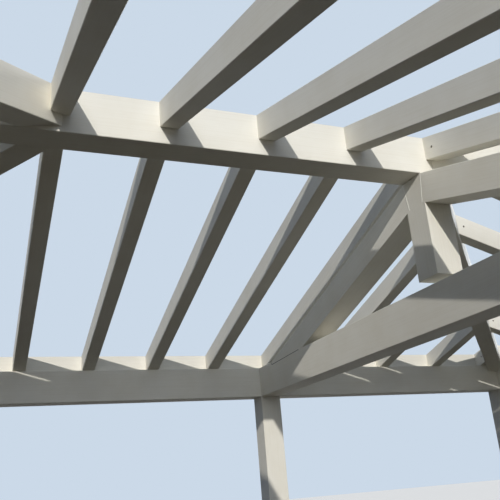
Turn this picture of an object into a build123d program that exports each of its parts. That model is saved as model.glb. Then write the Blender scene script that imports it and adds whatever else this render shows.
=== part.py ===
"""Free-standing hipped timber pergola, open roof frame, one king-post truss.

Millimetres, +Z up. The origin is on the ground under the middle of the plan:
X runs along the ridge, -Y is the side that the frame is looked at from.
"""

import os
from math import atan, cos, radians, sqrt, tan

from build123d import *

os.makedirs("parts", exist_ok=True)

# Plan and roof
half_width = 3054.0  # ridge axis to the outer face of a long eaves beam
rafter_pitch = 600.0  # spacing of the common rafters
rafter_count = 5  # common rafters on each long slope
jack_pitch = 678.0  # spacing of the jack rafters round a hip
jack_count = 4  # jack rafters on each side of a hip
roof_pitch = 16.8  # degrees
joint_gap = 0.3  # clearance between two timbers that meet

# Timber sections
post_side = 200.0
post_height = 2410.0
beam_width = 200.0
beam_height = 280.0
rim_width = 110.0  # rim board that stands on the eaves beam
rim_height = 145.0
ridge_width = 200.0
ridge_height = 266.0
ridge_overrun = 350.0  # ridge beam past the point where two hips meet
rafter_width = 110.0
rafter_depth = 157.0
hip_width = 160.0
hip_depth = 228.0

# Truss
truss_width = 200.0
truss_inset = 25.0  # truss axis inside the axis of the last common rafter
principal_depth = 200.0
king_side = 200.0
king_clearance = 50.0  # hanging post above the tie beam
king_notch = 29.0  # bearing of a principal rafter in the hanging post
heel_notch = 25.0  # bearing of a principal rafter in the tie beam

# Edges
arris = 3.0  # planed-off long corners of every timber

# Levels and lines that follow from the sizes
slope = tan(radians(roof_pitch))
hip_slope = slope / sqrt(2)
node_x = rafter_pitch * (rafter_count - 1) / 2
half_length = node_x + half_width
beam_bottom = post_height + joint_gap
beam_top = beam_bottom + beam_height
seat_z = beam_top + joint_gap
rim_inner_y = half_width - rim_width
rim_inner_x = half_length - rim_width
beam_inner_y = half_width - beam_width
beam_inner_x = half_length - beam_width
rafter_foot_y = rim_inner_y - joint_gap
rafter_foot_x = rim_inner_x - joint_gap
rafter_drop = rafter_depth / cos(radians(roof_pitch))
ridge_top = seat_z + rim_height + slope * (rim_inner_y - ridge_width / 2)
ridge_bottom = ridge_top - ridge_height
ridge_end_x = node_x + ridge_overrun
truss_x = node_x - truss_inset
truss_top = ridge_bottom - joint_gap
principal_drop = principal_depth / cos(radians(roof_pitch))
hip_drop = hip_depth / cos(atan(hip_slope))
hip_half_diagonal = hip_width / sqrt(2)
hip_face_offset = hip_half_diagonal + joint_gap * sqrt(2)
post_x = half_length - post_side / 2
post_y = half_width - post_side / 2


def roof_z(distance):
    """Height of the rafters' top faces at a distance from the ridge axis."""
    return ridge_top - slope * (distance - ridge_width / 2)


def principal_z(distance):
    """Height of the principal rafters' top faces at a distance from the ridge axis."""
    return truss_top - slope * (distance - ridge_width / 2)


def fall_line(side_x, side_y):
    """Direction in which a timber of the roof runs down towards side_x, side_y."""
    return Axis((0, 0, 0), (side_x, side_y, -slope))


def hip_face(side_x, side_y, facing):
    """Upright plane along one side of a hip, its normal away from the hip.

    The hip runs from the ridge towards side_x, side_y. facing is 1 for the face
    towards the end slope and -1 for the face towards the long slope.
    """
    normal = (side_x * facing, -side_y * facing, 0)
    start = (side_x * (node_x + facing * hip_face_offset), 0, 0)
    return Plane(origin=start, x_dir=(side_x, side_y, 0), z_dir=normal)


# Posts
for label, x, y in (
    ("post_truss_far", truss_x, post_y),
    ("post_truss_near", truss_x, -post_y),
    ("post_corner_far_right", post_x, post_y),
    ("post_corner_near_right", post_x, -post_y),
    ("post_corner_far_left", -post_x, post_y),
    ("post_corner_near_left", -post_x, -post_y),
):
    with BuildPart() as post:
        with BuildSketch(Plane.XY):
            with Locations((x, y)):
                Rectangle(post_side, post_side)
        extrude(amount=post_height)
        chamfer(post.edges().filter_by(Axis.Z), arris)
    post.part.label = label
    export_step(post.part, f"parts/{label}.step")


# Tie beam of the truss, over its two posts, with a heel notch on each side
def heel_points(gap):
    """Crossing, toe and notch corner of a heel joint, as distance and height."""
    toe = (truss_top - beam_top) / slope + ridge_width / 2
    crossing = toe - principal_drop / slope
    corner = toe - heel_notch * slope
    return (crossing, beam_top + gap), (corner, beam_top - heel_notch + gap), (toe, beam_top + gap)


with BuildPart() as tie_beam:
    with BuildSketch(Plane.XY.offset(beam_bottom)):
        with Locations((truss_x, 0)):
            Rectangle(truss_width, 2 * half_width)
    extrude(amount=beam_height)
    chamfer(tie_beam.edges().filter_by(Axis.Y), arris)
    with BuildSketch(Plane.YZ.offset(truss_x - truss_width / 2)):
        for side in (1, -1):
            with BuildLine():
                Polyline(*[(side * y, z) for y, z in heel_points(0)], close=True)
            make_face()
    extrude(amount=truss_width, mode=Mode.SUBTRACT)
tie_beam.part.label = "tie_beam"
export_step(tie_beam.part, "parts/tie_beam.step")

# Eaves beams: the long ones meet the tie beam, the end ones stand between them
for label, x0, x1, side in (
    ("eaves_beam_far_long", -half_length, truss_x - truss_width / 2 - joint_gap, 1),
    ("eaves_beam_far_short", truss_x + truss_width / 2 + joint_gap, half_length, 1),
    ("eaves_beam_near_long", -half_length, truss_x - truss_width / 2 - joint_gap, -1),
    ("eaves_beam_near_short", truss_x + truss_width / 2 + joint_gap, half_length, -1),
):
    with BuildPart() as eaves_beam:
        with BuildSketch(Plane.XY.offset(beam_bottom)):
            with Locations(((x0 + x1) / 2, side * (half_width - beam_width / 2))):
                Rectangle(x1 - x0, beam_width)
        extrude(amount=beam_height)
        chamfer(eaves_beam.edges().filter_by(Axis.X), arris)
    eaves_beam.part.label = label
    export_step(eaves_beam.part, f"parts/{label}.step")

for label, side in (("eaves_beam_right", 1), ("eaves_beam_left", -1)):
    with BuildPart() as eaves_beam:
        with BuildSketch(Plane.XY.offset(beam_bottom)):
            with Locations((side * (half_length - beam_width / 2), 0)):
                Rectangle(beam_width, 2 * (beam_inner_y - joint_gap))
        extrude(amount=beam_height)
        chamfer(eaves_beam.edges().filter_by(Axis.Y), arris)
    eaves_beam.part.label = label
    export_step(eaves_beam.part, f"parts/{label}.step")

# Rim boards on the eaves beams, flush with the beams' outer faces
for label, side in (("rim_board_far", 1), ("rim_board_near", -1)):
    with BuildPart() as rim_board:
        with BuildSketch(Plane.XY.offset(seat_z)):
            with Locations((0, side * (half_width - rim_width / 2))):
                Rectangle(2 * half_length, rim_width)
        extrude(amount=rim_height)
        chamfer(rim_board.edges().filter_by(Axis.X), arris)
    rim_board.part.label = label
    export_step(rim_board.part, f"parts/{label}.step")

for label, side in (("rim_board_right", 1), ("rim_board_left", -1)):
    with BuildPart() as rim_board:
        with BuildSketch(Plane.XY.offset(seat_z)):
            with Locations((side * (half_length - rim_width / 2), 0)):
                Rectangle(rim_width, 2 * (rim_inner_y - joint_gap))
        extrude(amount=rim_height)
        chamfer(rim_board.edges().filter_by(Axis.Y), arris)
    rim_board.part.label = label
    export_step(rim_board.part, f"parts/{label}.step")

# Ridge beam, its ends bevelled along the end slopes
with BuildPart() as ridge_beam:
    with BuildSketch(Plane.XZ.offset(-ridge_width / 2)):
        with BuildLine():
            Polyline(
                (-ridge_end_x, ridge_bottom),
                (ridge_end_x, ridge_bottom),
                (ridge_end_x, roof_z(ridge_end_x - node_x)),
                (node_x + ridge_width / 2, ridge_top),
                (-node_x - ridge_width / 2, ridge_top),
                (-ridge_end_x, roof_z(ridge_end_x - node_x)),
                close=True,
            )
        make_face()
    extrude(amount=ridge_width)
    chamfer(ridge_beam.edges().filter_by(Axis.X), arris)
ridge_beam.part.label = "ridge_beam"
export_step(ridge_beam.part, "parts/ridge_beam.step")

# Hanging post of the truss, notched for both principal rafters
king_half = king_side / 2
king_bottom = beam_top + king_clearance
notch_y = king_half - king_notch
with BuildPart() as king_post:
    with BuildSketch(Plane.YZ.offset(truss_x - king_side / 2)):
        with BuildLine():
            right_side = [
                (king_half, king_bottom),
                (king_half, principal_z(king_half) - principal_drop - joint_gap),
                (notch_y, principal_z(notch_y) - principal_drop - joint_gap),
                (king_half - joint_gap, truss_top),
            ]
            left_side = [(-y, z) for y, z in reversed(right_side)]
            Polyline(*right_side, *left_side, close=True)
        make_face()
    extrude(amount=king_side)
    chamfer(king_post.edges().filter_by(Axis.Z), arris)
king_post.part.label = "king_post"
export_step(king_post.part, "parts/king_post.step")

# Principal rafters between the hanging post and the tie beam
heel = heel_points(joint_gap)
for label, side in (("principal_rafter_far", 1), ("principal_rafter_near", -1)):
    with BuildPart() as principal_rafter:
        with BuildSketch(Plane.YZ.offset(truss_x - truss_width / 2)):
            with BuildLine():
                outline = [
                    (king_half, principal_z(king_half)),
                    (notch_y + joint_gap, principal_z(notch_y + joint_gap) - principal_drop),
                    heel[0],
                    heel[1],
                    (heel[2][0] - joint_gap / slope, heel[2][1]),
                ]
                Polyline(*[(side * y, z) for y, z in outline], close=True)
            make_face()
        extrude(amount=truss_width)
        chamfer(principal_rafter.edges().filter_by(fall_line(0, side)), arris)
    principal_rafter.part.label = label
    export_step(principal_rafter.part, f"parts/{label}.step")

# Common rafters on the two long slopes; the outer ones are cut by the hips
for slope_name, side in (("far", 1), ("near", -1)):
    for index in range(rafter_count):
        x = -node_x + index * rafter_pitch
        with BuildPart() as rafter:
            with BuildSketch(Plane.YZ.offset(x - rafter_width / 2)):
                head = ridge_width / 2 + joint_gap
                with BuildLine():
                    outline = [
                        (head, roof_z(head)),
                        (rafter_foot_y, roof_z(rafter_foot_y)),
                        (rafter_foot_y, roof_z(rafter_foot_y) - rafter_drop),
                        (head, roof_z(head) - rafter_drop),
                    ]
                    Polyline(*[(side * y, z) for y, z in outline], close=True)
                make_face()
            extrude(amount=rafter_width)
            chamfer(rafter.edges().filter_by(fall_line(0, side)), arris)
            split(bisect_by=Plane.XY.offset(seat_z), keep=Keep.TOP)
            if index == 0:
                split(bisect_by=hip_face(-1, side, -1), keep=Keep.TOP)
            if index == rafter_count - 1:
                split(bisect_by=hip_face(1, side, -1), keep=Keep.TOP)
        rafter.part.label = f"rafter_{slope_name}_{index + 1}"
        export_step(rafter.part, f"parts/{rafter.part.label}.step")

# Hip rafters from the ridge beam to the corners, with a bird's mouth over the beams
hip_top_z = ridge_top + slope * (ridge_width / 2 - hip_half_diagonal / 2)
for label, side_x, side_y in (
    ("hip_rafter_far_right", 1, 1),
    ("hip_rafter_near_right", 1, -1),
    ("hip_rafter_far_left", -1, 1),
    ("hip_rafter_near_left", -1, -1),
):
    axis_plane = Plane(
        origin=(side_x * node_x, 0, 0),
        x_dir=(side_x, side_y, 0),
        z_dir=(side_y, -side_x, 0),
    )
    rise = 1 if axis_plane.y_dir.Z > 0 else -1
    reach = half_width * sqrt(2)
    with BuildPart() as hip_rafter:
        with BuildSketch(axis_plane):
            with BuildLine():
                outline = [
                    (0, hip_top_z),
                    (reach, hip_top_z - hip_slope * reach),
                    (reach, hip_top_z - hip_slope * reach - hip_drop),
                    (0, hip_top_z - hip_drop),
                ]
                Polyline(*[(along, rise * z) for along, z in outline], close=True)
            make_face()
        extrude(amount=hip_width / 2, both=True)
        chamfer(hip_rafter.edges().filter_by(fall_line(side_x, side_y)), arris)
        near_face = Plane(
            origin=(0, side_y * (ridge_width / 2 + joint_gap), 0), x_dir=(1, 0, 0), z_dir=(0, side_y, 0)
        )
        split(bisect_by=near_face, keep=Keep.TOP)
        split(
            bisect_by=Plane(
                origin=(0, side_y * rafter_foot_y, 0), x_dir=(1, 0, 0), z_dir=(0, -side_y, 0)
            ),
            keep=Keep.TOP,
        )
        split(
            bisect_by=Plane(
                origin=(side_x * rafter_foot_x, 0, 0), x_dir=(0, 1, 0), z_dir=(-side_x, 0, 0)
            ),
            keep=Keep.TOP,
        )
        mouth_x = beam_inner_x - joint_gap
        mouth_y = beam_inner_y - joint_gap
        with BuildSketch(Plane.XY.offset(seat_z)):
            with Locations((side_x * (mouth_x + beam_width), side_y * mouth_y)):
                Rectangle(2 * beam_width, 4 * beam_width)
            with Locations((side_x * mouth_x, side_y * (mouth_y + beam_width))):
                Rectangle(4 * beam_width, 2 * beam_width)
        extrude(amount=-2 * beam_height, mode=Mode.SUBTRACT)
    hip_rafter.part.label = label
    export_step(hip_rafter.part, f"parts/{label}.step")

# Jack rafters of the long slopes, from the hips down to the rim boards
for label, side_x, side_y in (
    ("jack_rafters_far_right", 1, 1),
    ("jack_rafters_near_right", 1, -1),
    ("jack_rafters_far_left", -1, 1),
    ("jack_rafters_near_left", -1, -1),
):
    with BuildPart() as jack_rafters:
        for index in range(jack_count):
            x = side_x * (node_x + (index + 1) * jack_pitch)
            with BuildSketch(Plane.YZ.offset(x - rafter_width / 2)):
                head = ridge_width / 2 + joint_gap
                with BuildLine():
                    outline = [
                        (head, roof_z(head)),
                        (rafter_foot_y, roof_z(rafter_foot_y)),
                        (rafter_foot_y, roof_z(rafter_foot_y) - rafter_drop),
                        (head, roof_z(head) - rafter_drop),
                    ]
                    Polyline(*[(side_y * y, z) for y, z in outline], close=True)
                make_face()
            extrude(amount=rafter_width)
        chamfer(jack_rafters.edges().filter_by(fall_line(0, side_y)), arris)
        split(bisect_by=Plane.XY.offset(seat_z), keep=Keep.TOP)
        split(bisect_by=hip_face(side_x, side_y, -1), keep=Keep.TOP)
    jack_rafters.part.label = label
    export_step(jack_rafters.part, f"parts/{label}.step")

# Jack rafters of the end slopes, and the middle rafter of each end
for label, side_x, side_y in (
    ("end_jack_rafters_right_far", 1, 1),
    ("end_jack_rafters_right_near", 1, -1),
    ("end_jack_rafters_left_far", -1, 1),
    ("end_jack_rafters_left_near", -1, -1),
):
    with BuildPart() as end_jacks:
        for index in range(jack_count):
            y = side_y * (index + 1) * jack_pitch
            with BuildSketch(Plane.XZ.offset(-y - rafter_width / 2)):
                head = ridge_width / 2 + joint_gap
                foot = rafter_foot_x - node_x
                with BuildLine():
                    outline = [
                        (head, roof_z(head)),
                        (foot, roof_z(foot)),
                        (foot, roof_z(foot) - rafter_drop),
                        (head, roof_z(head) - rafter_drop),
                    ]
                    Polyline(*[(side_x * (node_x + d), z) for d, z in outline], close=True)
                make_face()
            extrude(amount=rafter_width)
        chamfer(end_jacks.edges().filter_by(fall_line(side_x, 0)), arris)
        split(bisect_by=Plane.XY.offset(seat_z), keep=Keep.TOP)
        split(bisect_by=hip_face(side_x, side_y, 1), keep=Keep.TOP)
    end_jacks.part.label = label
    export_step(end_jacks.part, f"parts/{label}.step")

for label, side in (("middle_rafter_right", 1), ("middle_rafter_left", -1)):
    with BuildPart() as middle_rafter:
        with BuildSketch(Plane.XZ.offset(-rafter_width / 2)):
            head = ridge_overrun + joint_gap
            foot = rafter_foot_x - node_x
            with BuildLine():
                outline = [
                    (head, roof_z(head)),
                    (foot, roof_z(foot)),
                    (foot, roof_z(foot) - rafter_drop),
                    (head, roof_z(head) - rafter_drop),
                ]
                Polyline(*[(side * (node_x + d), z) for d, z in outline], close=True)
            make_face()
        extrude(amount=rafter_width)
        chamfer(middle_rafter.edges().filter_by(fall_line(side, 0)), arris)
        split(bisect_by=Plane.XY.offset(seat_z), keep=Keep.TOP)
    middle_rafter.part.label = label
    export_step(middle_rafter.part, f"parts/{label}.step")
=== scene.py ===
"""Looks for a free-standing hipped pergola of white-painted glued-laminated timber.

Metres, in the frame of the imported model: X along the ridge, -Y the side where the camera
stands, +Z up.
"""

from math import atan2, cos, hypot, pi, radians, sin, sqrt, tan

import bpy
from mathutils import Matrix, Vector


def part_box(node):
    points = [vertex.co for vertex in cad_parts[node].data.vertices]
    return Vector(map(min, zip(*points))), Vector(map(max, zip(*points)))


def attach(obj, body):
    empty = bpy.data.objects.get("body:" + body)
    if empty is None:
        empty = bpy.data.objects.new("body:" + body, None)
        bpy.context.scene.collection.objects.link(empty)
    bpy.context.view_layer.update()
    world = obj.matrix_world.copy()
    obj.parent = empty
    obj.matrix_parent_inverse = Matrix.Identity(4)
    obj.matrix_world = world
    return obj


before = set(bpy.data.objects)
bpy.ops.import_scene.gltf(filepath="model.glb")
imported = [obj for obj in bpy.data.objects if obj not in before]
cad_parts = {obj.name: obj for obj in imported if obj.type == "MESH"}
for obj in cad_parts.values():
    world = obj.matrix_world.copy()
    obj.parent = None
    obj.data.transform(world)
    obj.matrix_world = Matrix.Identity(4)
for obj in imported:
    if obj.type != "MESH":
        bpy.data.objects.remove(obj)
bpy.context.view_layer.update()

MM = 0.001

# Sizes that the source of the solids also names
roof_pitch = radians(16.8)
roof_slope = tan(roof_pitch)
node_x = 1.200  # where the axes of the ridge and the hips meet
truss_x = node_x - 0.025
jack_pitch = 0.678
jack_count = 4
rafter_width = 0.110
rafter_drop = 0.157 / cos(roof_pitch)  # upright height of a rafter's side
ridge_half = 0.100
hip_half_diagonal = 0.160 / sqrt(2)  # half a hip, measured along the plan's sides
truss_half = 0.100
king_notch = 0.029
principal_drop = 0.200 / cos(roof_pitch)  # upright height of a principal rafter's side

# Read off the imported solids
ridge_low, ridge_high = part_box("ridge_beam")
ridge_top = ridge_high.z
truss_top = ridge_low.z
seat_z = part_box("rim_board_near")[0].z


def roof_z(distance):
    """Height of the rafters' top faces at a distance from the ridge axis."""
    return ridge_top - roof_slope * (distance - ridge_half)


# Camera
view_place = Vector((-1.52548, -3.30428, 1.59712))
view_turn = 0.40049  # radians, to the right of the far long side
view_lift = 0.33824  # radians above level
view_roll = -0.08200  # radians
film_width = 36  # mm
focal_length = 47.944  # mm
view_reach = 300  # past the far corners of the floor

ahead = Vector((sin(view_turn) * cos(view_lift), cos(view_turn) * cos(view_lift), sin(view_lift)))
level_right = Vector((cos(view_turn), -sin(view_turn), 0))
level_up = level_right.cross(ahead)
right = level_right * cos(view_roll) + level_up * sin(view_roll)
up = right.cross(ahead)
view_axes = Matrix((right, up, -ahead)).transposed().to_4x4()
camera_data = bpy.data.cameras.new("camera")
camera_data.sensor_width = film_width
camera_data.lens = focal_length
camera_data.clip_end = view_reach
camera = bpy.data.objects.new("camera", camera_data)
camera.matrix_world = Matrix.Translation(view_place) @ view_axes
bpy.context.scene.collection.objects.link(camera)
bpy.context.scene.camera = camera


# Materials
def linear(code):
    """An sRGB hex colour as linear RGBA."""
    shares = [int(code[i : i + 2], 16) / 255 for i in (1, 3, 5)]
    return [s / 12.92 if s <= 0.04045 else ((s + 0.055) / 1.055) ** 2.4 for s in shares] + [1]


def add(tree, kind, inputs=None, **settings):
    """One node, with its settings, and its inputs set to values or linked to sockets."""
    node = tree.nodes.new(kind)
    for name, value in settings.items():
        setattr(node, name, value)
    for key, value in (inputs or {}).items():
        if isinstance(value, bpy.types.NodeSocket):
            tree.links.new(value, node.inputs[key])
        else:
            node.inputs[key].default_value = value
    return node


paint_white = "#E9E6DC"  # satin cream-white opaque coat
paint_thin = "#DED9CB"  # where the brush left less of it
paint_dust = "#CFCBBD"  # grey bloom on faces that look up
coat_ior = 1.5  # acrylic paint
coat_roughness = 0.6
coat_mirror = 0.35  # of 0.5 for clear varnish: pigment at the surface breaks the mirror up
shine_change = (-0.06, 0.1)  # change of roughness from the thickest coat to the thinnest

streak_length = 420 * MM  # early and late wood, planed along the piece
streak_width = 7 * MM  # real rings are 2 to 4 mm, drawn coarser so that they show
streak_range = (0.45, 0.75)  # of the noise, from no streak to a full one
streak_share = 0.35  # of the way to the thin coat's colour
grain_relief = 0.35 * MM
relief_strength = 0.6

lamella = 40 * MM  # thickness of one glued board
glue_line = 3 * MM  # real lines are under 1 mm, drawn wider so that they show
glue_share = 0.25  # of the way to the thin coat's colour
glue_sunk = 0.5  # of the grain's relief

brush_load = 260 * MM  # length of wood that one load of the brush covers
brush_range = (0.38, 0.72)
brush_share = 0.45
drift_per_metre = 0.45  # slow change of tone, about every 2.2 m
drift_share = 0.3

level_range = (0.6, 0.95)  # upward part of the normal, from no dust to all of it
dust_share = 0.5


def painted_planed_glulam(name, along):
    """Planed spruce glulam under satin opaque paint: grain and board joints show faintly
    through an even, slightly uneven-toned coat that shines softly at a low angle."""
    material = bpy.data.materials.new(name)
    material.use_nodes = True
    tree = material.node_tree
    tree.nodes.clear()
    turn = Vector(along).to_track_quat("X", "Z").to_euler()
    place = add(tree, "ShaderNodeTexCoord").outputs["Object"]
    lengthways = add(
        tree,
        "ShaderNodeMapping",
        {"Vector": place, "Rotation": turn},
        vector_type="TEXTURE",
    ).outputs["Vector"]
    grain_place = add(
        tree,
        "ShaderNodeVectorMath",
        {0: lengthways, 1: (1 / streak_length, 1 / streak_width, 1 / streak_width)},
        operation="MULTIPLY",
    ).outputs["Vector"]
    grain = add(
        tree,
        "ShaderNodeTexNoise",
        {"Vector": grain_place, "Scale": 1, "Detail": 3, "Roughness": 0.6},
    ).outputs["Fac"]
    tone = add(
        tree,
        "ShaderNodeTexNoise",
        {"Vector": place, "Scale": 1 / brush_load, "Detail": 4, "Roughness": 0.55},
    ).outputs["Fac"]
    drift = add(
        tree, "ShaderNodeTexNoise", {"Vector": place, "Scale": drift_per_metre, "Detail": 1}
    ).outputs["Fac"]
    across = add(tree, "ShaderNodeSeparateXYZ", {"Vector": lengthways}).outputs["Z"]
    board = add(
        tree, "ShaderNodeMath", {0: across, 1: lamella / 2}, operation="PINGPONG"
    ).outputs["Value"]
    joint = add(
        tree,
        "ShaderNodeMapRange",
        {"Value": board, "From Min": glue_line / 2, "From Max": 0, "To Min": 0, "To Max": 1},
    ).outputs["Result"]
    thinness = add(
        tree,
        "ShaderNodeMapRange",
        {
            "Value": tone,
            "From Min": brush_range[0],
            "From Max": brush_range[1],
            "To Min": 0,
            "To Max": brush_share,
        },
    ).outputs["Result"]
    streaks = add(
        tree,
        "ShaderNodeMapRange",
        {
            "Value": grain,
            "From Min": streak_range[0],
            "From Max": streak_range[1],
            "To Min": 0,
            "To Max": streak_share,
        },
    ).outputs["Result"]
    wear = add(
        tree, "ShaderNodeMath", {0: thinness, 1: streaks}, operation="ADD"
    ).outputs["Value"]
    wear = add(
        tree, "ShaderNodeMath", {0: joint, 1: glue_share, 2: wear}, operation="MULTIPLY_ADD"
    ).outputs["Value"]
    wear = add(
        tree,
        "ShaderNodeMath",
        {0: drift, 1: drift_share, 2: wear},
        operation="MULTIPLY_ADD",
        use_clamp=True,
    ).outputs["Value"]
    coat = add(
        tree,
        "ShaderNodeMix",
        {"Factor": wear, "A": linear(paint_white), "B": linear(paint_thin)},
        data_type="RGBA",
    ).outputs["Result"]
    facing = add(
        tree,
        "ShaderNodeSeparateXYZ",
        {"Vector": add(tree, "ShaderNodeNewGeometry").outputs["Normal"]},
    ).outputs["Z"]
    lying = add(
        tree,
        "ShaderNodeMapRange",
        {
            "Value": facing,
            "From Min": level_range[0],
            "From Max": level_range[1],
            "To Min": 0,
            "To Max": dust_share,
        },
    ).outputs["Result"]
    bloom = add(
        tree, "ShaderNodeMath", {0: lying, 1: tone}, operation="MULTIPLY"
    ).outputs["Value"]
    coat = add(
        tree,
        "ShaderNodeMix",
        {"Factor": bloom, "A": coat, "B": linear(paint_dust)},
        data_type="RGBA",
    ).outputs["Result"]
    shine = add(
        tree,
        "ShaderNodeMapRange",
        {
            "Value": tone,
            "To Min": coat_roughness + shine_change[0],
            "To Max": coat_roughness + shine_change[1],
        },
    ).outputs["Result"]
    height = add(
        tree, "ShaderNodeMath", {0: joint, 1: -glue_sunk, 2: grain}, operation="MULTIPLY_ADD"
    ).outputs["Value"]
    relief = add(
        tree,
        "ShaderNodeBump",
        {"Height": height, "Distance": grain_relief, "Strength": relief_strength},
    ).outputs["Normal"]
    surface = add(
        tree,
        "ShaderNodeBsdfPrincipled",
        {
            "Base Color": coat,
            "Roughness": shine,
            "IOR": coat_ior,
            "Specular IOR Level": coat_mirror,
            "Normal": relief,
        },
    ).outputs["BSDF"]
    add(tree, "ShaderNodeOutputMaterial", {"Surface": surface})
    return material


hip_slope = roof_slope / sqrt(2)
hip_run = 1 / sqrt(2)
grain_ways = {
    "ridge": (1, 0, 0),
    "across": (0, 1, 0),
    "upright": (0, 0, 1),
    "far_slope": (0, 1, -roof_slope),
    "near_slope": (0, 1, roof_slope),
    "right_slope": (1, 0, -roof_slope),
    "left_slope": (1, 0, roof_slope),
    "hip_far_right": (hip_run, hip_run, -hip_slope),
    "hip_near_right": (hip_run, -hip_run, -hip_slope),
    "hip_far_left": (-hip_run, hip_run, -hip_slope),
    "hip_near_left": (-hip_run, -hip_run, -hip_slope),
}
paint = {
    way: painted_planed_glulam(f"painted_planed_glulam_{way}", along)
    for way, along in grain_ways.items()
}


def way_of(node):
    """The way that a timber's grain runs, from its name."""
    if node.startswith(("post_", "king_")):
        return "upright"
    if node.startswith("hip_rafter_"):
        return "hip_" + node[len("hip_rafter_") :]
    if node.startswith("end_jack_rafters_"):
        return node.split("_")[3] + "_slope"
    if node.startswith("middle_rafter_"):
        return node.split("_")[2] + "_slope"
    if node.startswith(("rafter_", "jack_rafters_", "principal_rafter_")):
        return "far_slope" if "_far" in node else "near_slope"
    if node == "tie_beam" or node.endswith(("beam_left", "beam_right", "board_left", "board_right")):
        return "across"
    return "ridge"


for node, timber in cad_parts.items():
    timber.data.materials.clear()
    timber.data.materials.append(paint[way_of(node)])

steel_grey = "#7A7166"
steel_dark = "#433B34"
steel_speck = 3 * MM
steel_roughness = (0.4, 0.7)  # between the specks, and on them
steel_metallic = 0.8  # the rest is dull oxide


def zinc_plated_steel():
    """Zinc-plated screw steel, dulled by weather: grey-brown, half rough, with dark specks."""
    material = bpy.data.materials.new("weathered_zinc_plated_steel")
    material.use_nodes = True
    tree = material.node_tree
    tree.nodes.clear()
    place = add(tree, "ShaderNodeTexCoord").outputs["Object"]
    specks = add(
        tree, "ShaderNodeTexNoise", {"Vector": place, "Scale": 1 / steel_speck, "Detail": 3}
    ).outputs["Fac"]
    colour = add(
        tree,
        "ShaderNodeMix",
        {"Factor": specks, "A": linear(steel_grey), "B": linear(steel_dark)},
        data_type="RGBA",
    ).outputs["Result"]
    dull = add(
        tree,
        "ShaderNodeMapRange",
        {"Value": specks, "To Min": steel_roughness[0], "To Max": steel_roughness[1]},
    ).outputs["Result"]
    surface = add(
        tree,
        "ShaderNodeBsdfPrincipled",
        {"Base Color": colour, "Roughness": dull, "Metallic": steel_metallic},
    ).outputs["BSDF"]
    add(tree, "ShaderNodeOutputMaterial", {"Surface": surface})
    return material


filler_white = "#F6F4EC"
filler_shade = "#E8E4D8"
filler_lump = 9 * MM
filler_relief = 0.3 * MM
filler_relief_strength = 0.5
filler_roughness = 0.6
filler_ior = 1.48  # acrylic


def white_joint_filler():
    """Overpaintable acrylic filler: a little whiter and duller than the paint, gently lumpy."""
    material = bpy.data.materials.new("white_acrylic_joint_filler")
    material.use_nodes = True
    tree = material.node_tree
    tree.nodes.clear()
    place = add(tree, "ShaderNodeTexCoord").outputs["Object"]
    lumps = add(
        tree, "ShaderNodeTexNoise", {"Vector": place, "Scale": 1 / filler_lump, "Detail": 2}
    ).outputs["Fac"]
    colour = add(
        tree,
        "ShaderNodeMix",
        {"Factor": lumps, "A": linear(filler_white), "B": linear(filler_shade)},
        data_type="RGBA",
    ).outputs["Result"]
    relief = add(
        tree,
        "ShaderNodeBump",
        {"Height": lumps, "Distance": filler_relief, "Strength": filler_relief_strength},
    ).outputs["Normal"]
    surface = add(
        tree,
        "ShaderNodeBsdfPrincipled",
        {
            "Base Color": colour,
            "Roughness": filler_roughness,
            "IOR": filler_ior,
            "Normal": relief,
        },
    ).outputs["BSDF"]
    add(tree, "ShaderNodeOutputMaterial", {"Surface": surface})
    return material


# painted shadow: these dark colours stand in for the shade inside the open joints, and the lighter
# one is dust in that shade
joint_shadow_dark = "#524E46"
joint_shadow_dust = "#6C685E"
joint_dust_length = 40 * MM
joint_roughness = 0.9


def shaded_open_joint():
    """Painted shadow of an open joint, with bare timber and dust in it: dark grey-brown and matt."""
    material = bpy.data.materials.new("shaded_open_timber_joint")
    material.use_nodes = True
    tree = material.node_tree
    tree.nodes.clear()
    place = add(tree, "ShaderNodeTexCoord").outputs["Object"]
    dust = add(
        tree,
        "ShaderNodeTexNoise",
        {"Vector": place, "Scale": 1 / joint_dust_length, "Detail": 2},
    ).outputs["Fac"]
    colour = add(
        tree,
        "ShaderNodeMix",
        {"Factor": dust, "A": linear(joint_shadow_dark), "B": linear(joint_shadow_dust)},
        data_type="RGBA",
    ).outputs["Result"]
    surface = add(
        tree,
        "ShaderNodeBsdfPrincipled",
        {"Base Color": colour, "Roughness": joint_roughness},
    ).outputs["BSDF"]
    add(tree, "ShaderNodeOutputMaterial", {"Surface": surface})
    return material


steel = zinc_plated_steel()
filler = white_joint_filler()
open_joint_shadow = shaded_open_joint()


# Side screws of the jack rafters and of the outer common rafters
def deselect():
    """Deselect every object, so that the next operator acts on its own piece alone."""
    for obj in bpy.context.selected_objects:
        obj.select_set(False)


def pick(obj, wanted):
    """In edit mode, select only the faces that pass the test."""
    bpy.ops.object.mode_set(mode="OBJECT")
    for vertex in obj.data.vertices:
        vertex.select = False
    for edge in obj.data.edges:
        edge.select = False
    for face in obj.data.polygons:
        face.select = wanted(face)
    bpy.ops.object.mode_set(mode="EDIT")


level = 0.9  # least upward part of the normal of a cylinder's end face
head_radius = 8 * MM
head_height = 1.8 * MM
head_sides = 24
head_rim = 1.1 * MM
head_fall = 0.7 * MM  # of the head's edge below its flat
recess_radius = 4.6 * MM
recess_depth = 1.5 * MM
lobe_sides = 4  # sides of the head to each lobe of the star-shaped recess
lobe_waist = 0.74  # of the recess radius, between two lobes
allowance = 0.1 * MM

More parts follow.
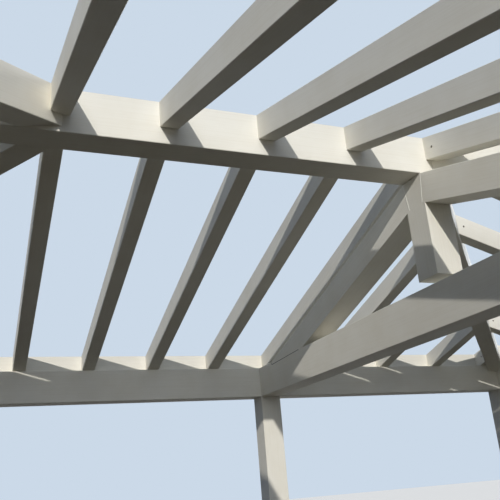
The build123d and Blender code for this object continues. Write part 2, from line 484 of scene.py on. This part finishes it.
deselect()
bpy.ops.mesh.primitive_cylinder_add(
    vertices=head_sides, radius=head_radius, depth=head_height, location=(0, 0, head_height / 2)
)
screw = bpy.context.active_object
screw.name = "side_screw"
bpy.ops.object.transform_apply(location=True)
bpy.ops.object.mode_set(mode="EDIT")
bpy.ops.mesh.select_mode(type="FACE")
pick(screw, lambda face: face.normal.z > level)
bpy.ops.mesh.inset(thickness=head_rim)
bpy.ops.mesh.inset(thickness=head_radius - head_rim - recess_radius)
bpy.ops.mesh.extrude_region_move(TRANSFORM_OT_translate={"value": (0, 0, -recess_depth)})
bpy.ops.object.mode_set(mode="OBJECT")
for vertex in screw.data.vertices:
    outward = hypot(vertex.co.x, vertex.co.y)
    sector = round(atan2(vertex.co.y, vertex.co.x) / (2 * pi) * head_sides) % lobe_sides
    if outward < recess_radius + allowance and sector in (0, 1):
        vertex.co.x *= lobe_waist
        vertex.co.y *= lobe_waist
    if outward > head_radius - allowance and vertex.co.z > head_height / 2:
        vertex.co.z -= head_fall
screw.data.materials.append(steel)

head_setback = 60 * MM  # from a jack rafter's cut end, along the piece
outer_head_setback = 76 * MM  # from the ridge beam, on the outer common rafters
heads = {}


def set_screw(group, place, outward):
    """A copy of the screw, its head on a face at a place, looking along outward."""
    copy = screw.copy()
    copy.data = screw.data.copy()
    facing = Vector(outward).to_track_quat("Z", "X").to_matrix().to_4x4()
    copy.data.transform(Matrix.Translation(place) @ facing)
    bpy.context.scene.collection.objects.link(copy)
    heads.setdefault(group, []).append(copy)


for end, side_x in (("right", 1), ("left", -1)):
    for side, side_y in (("far", 1), ("near", -1)):
        group = f"side_screws_{side}_{end}"
        outer = ridge_half + outer_head_setback
        face_x = side_x * (node_x - rafter_width / 2)
        set_screw(
            group, (face_x, side_y * outer, roof_z(outer) - rafter_drop / 2), (-side_x, 0, 0)
        )
        for index in range(jack_count):
            station = (index + 1) * jack_pitch
            inner = station - rafter_width / 2
            along = inner + hip_half_diagonal + head_setback
            low = max(roof_z(along) - rafter_drop, seat_z)
            height = (roof_z(along) + low) / 2
            set_screw(group, (side_x * (node_x + inner), side_y * along, height), (-side_x, 0, 0))
            set_screw(group, (side_x * (node_x + along), side_y * inner, height), (0, -side_y, 0))

for group, copies in heads.items():
    deselect()
    for copy in copies:
        copy.select_set(True)
    bpy.context.view_layer.objects.active = copies[0]
    bpy.ops.object.join()
    screws = bpy.context.active_object
    screws.name = group
    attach(screws, "root")
bpy.data.objects.remove(screw)

# Filled joints between the hanging post and the principal rafters
bead_width = 9 * MM
bead_proud = 1.5 * MM
bead_sides = 12
bead_short = 2 * MM  # of the joint's length
bead_tip = 0.6 * MM
bead_tip_scale = (0.9, 0.9, 1.003)
smooth_under = radians(40)
beads = []
for side_y in (1, -1):
    top = Vector((0, side_y * truss_half, truss_top))
    low_y = truss_half - king_notch
    low_z = truss_top - roof_slope * (low_y - ridge_half) - principal_drop
    bottom = Vector((0, side_y * low_y, low_z))
    way = (bottom - top).normalized()
    length = (bottom - top).length
    for side_x in (1, -1):
        deselect()
        bpy.ops.mesh.primitive_cylinder_add(
            vertices=bead_sides, radius=bead_width / 2, depth=length - bead_short
        )
        bead = bpy.context.active_object
        bpy.ops.object.mode_set(mode="EDIT")
        pick(bead, lambda face: abs(face.normal.z) > level)
        bpy.ops.mesh.inset(thickness=bead_tip)
        bpy.ops.transform.resize(value=bead_tip_scale)
        bpy.ops.object.mode_set(mode="OBJECT")
        flat = Matrix.Diagonal((2 * bead_proud / bead_width, 1, 1, 1))
        middle = (top + bottom) / 2
        lean = atan2(way.y, -way.z)
        middle.x = truss_x + side_x * truss_half
        bead.data.transform(Matrix.Translation(middle) @ Matrix.Rotation(lean, 4, "X") @ flat)
        bead.matrix_world = Matrix.Identity(4)
        bead.data.materials.append(filler)
        beads.append(bead)
deselect()
for bead in beads:
    bead.select_set(True)
bpy.context.view_layer.objects.active = beads[0]
bpy.ops.object.join()
joint_filler = bpy.context.active_object
joint_filler.name = "king_joint_filler"
bpy.ops.object.shade_smooth_by_angle(angle=smooth_under)
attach(joint_filler, "root")

# Painted shadow in the open joints between the principal rafters and the notches of the tie beam:
# thin dark strips on the faces of the truss
heel_notch = 0.025
arris = 3 * MM  # planed off the tie beam's top edges
seam_width = 5.5 * MM  # a real gap is about 2 mm, drawn wider so that it shows
seam_proud = 0.3 * MM
seam_edge = 0.15 * MM
beam_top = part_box("tie_beam")[1].z
toe_y = (truss_top - beam_top) / roof_slope + ridge_half
corner_y = toe_y - heel_notch * roof_slope
crossing_y = toe_y - principal_drop / roof_slope
edge_y = crossing_y + (corner_y - crossing_y) * arris / heel_notch
runs = (
    ((edge_y, beam_top - arris), (corner_y, beam_top - heel_notch)),
    ((corner_y, beam_top - heel_notch), (toe_y - arris * roof_slope, beam_top - arris)),
)
seams = []
for side_y in (1, -1):
    for side_x in (1, -1):
        for start, stop in runs:
            run = Vector((0, side_y * (stop[0] - start[0]), stop[1] - start[1]))
            middle_y = side_y * (start[0] + stop[0]) / 2
            middle = Vector((truss_x + side_x * truss_half, middle_y, (start[1] + stop[1]) / 2))
            deselect()
            bpy.ops.mesh.primitive_cube_add(size=1)
            seam = bpy.context.active_object
            bpy.ops.object.mode_set(mode="EDIT")
            bpy.ops.transform.resize(value=(2 * seam_proud, run.length, seam_width))
            bpy.ops.mesh.bevel(offset=seam_edge, offset_type="OFFSET", segments=1)
            bpy.ops.object.mode_set(mode="OBJECT")
            lean = Matrix.Rotation(atan2(run.z, run.y), 4, "X")
            seam.data.transform(Matrix.Translation(middle) @ lean)
            seam.data.materials.append(open_joint_shadow)
            seams.append(seam)
deselect()
for seam in seams:
    seam.select_set(True)
bpy.context.view_layer.objects.active = seams[0]
bpy.ops.object.join()
heel_joint_shadows = bpy.context.active_object
heel_joint_shadows.name = "heel_joint_painted_shadows"
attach(heel_joint_shadows, "root")


# Floor
def seen_rays(tree):
    """1 for the rays along which a camera, a gloss or a glass looks, and 0 for the others."""
    rays = add(tree, "ShaderNodeLightPath").outputs
    seen = add(
        tree,
        "ShaderNodeMath",
        {0: rays["Is Camera Ray"], 1: rays["Is Glossy Ray"]},
        operation="MAXIMUM",
    ).outputs["Value"]
    return add(
        tree, "ShaderNodeMath", {0: seen, 1: rays["Is Transmission Ray"]}, operation="MAXIMUM"
    ).outputs["Value"]


floor_reach = 60
floor_drop = 2 * MM  # below the posts' feet
floor_pale = "#F0EFEB"
floor_bounce = "#281F00"  # warm light that it throws up on the undersides
floor_glow = 0.35  # share of its own light, which keeps it pale under the camera

deselect()
bpy.ops.mesh.primitive_plane_add(size=2 * floor_reach, location=(0, 0, -floor_drop))
floor = bpy.context.active_object
floor.name = "floor"
plaster = bpy.data.materials.new("pale_floor")
plaster.use_nodes = True
tree = plaster.node_tree
tree.nodes.clear()
seen = seen_rays(tree)
shade = add(
    tree,
    "ShaderNodeMix",
    {"Factor": seen, "A": linear(floor_bounce), "B": linear(floor_pale)},
    data_type="RGBA",
).outputs["Result"]
matt = add(tree, "ShaderNodeBsdfDiffuse", {"Color": shade}).outputs["BSDF"]
glow = add(
    tree, "ShaderNodeEmission", {"Color": linear(floor_pale), "Strength": seen}
).outputs["Emission"]
mixed = add(tree, "ShaderNodeMixShader", {0: floor_glow, 1: matt, 2: glow}).outputs["Shader"]
add(tree, "ShaderNodeOutputMaterial", {"Surface": mixed})
floor.data.materials.append(plaster)


# Light
def far_lamp(name, way, strength, spread, tint):
    """A lamp so far away that its light runs one way; spread in degrees softens its shadows."""
    lamp = bpy.data.objects.new(name, bpy.data.lights.new(name, "SUN"))
    lamp.data.energy = strength
    lamp.data.angle = radians(spread)
    lamp.data.color = tint
    lamp.rotation_euler = Vector(way).to_track_quat("-Z", "Y").to_euler()
    bpy.context.scene.collection.objects.link(lamp)


warm_white = (1.0, 0.975, 0.93)
cool_white = (0.92, 0.96, 1.0)
key_way = (0.399, 1.0, -0.4225)  # from the near left, 21 degrees high
far_lamp("key", way=key_way, strength=2.45, spread=0.6, tint=warm_white)
far_lamp("fill_near", way=(3, 16, -1.5), strength=0.9, spread=32, tint=cool_white)
far_lamp("fill_right", way=(-17, -5, -4.5), strength=1.15, spread=20, tint=cool_white)
far_lamp("fill_far", way=(-5.5, -16, -9), strength=1.65, spread=20, tint=cool_white)

shade_light = "#A8C4F2"  # what fills the shadows
shade_strength = 0.24
backdrop = "#CBD9E8"

world = bpy.data.worlds.new("studio")
bpy.context.scene.world = world
world.use_nodes = True
tree = world.node_tree
tree.nodes.clear()
dim = add(
    tree, "ShaderNodeBackground", {"Color": linear(shade_light), "Strength": shade_strength}
).outputs["Background"]
pale = add(
    tree, "ShaderNodeBackground", {"Color": linear(backdrop), "Strength": 1}
).outputs["Background"]
both = add(tree, "ShaderNodeMixShader", {0: seen_rays(tree), 1: dim, 2: pale}).outputs["Shader"]
add(tree, "ShaderNodeOutputWorld", {"Surface": both})
bpy.context.scene.view_settings.view_transform = "Standard"
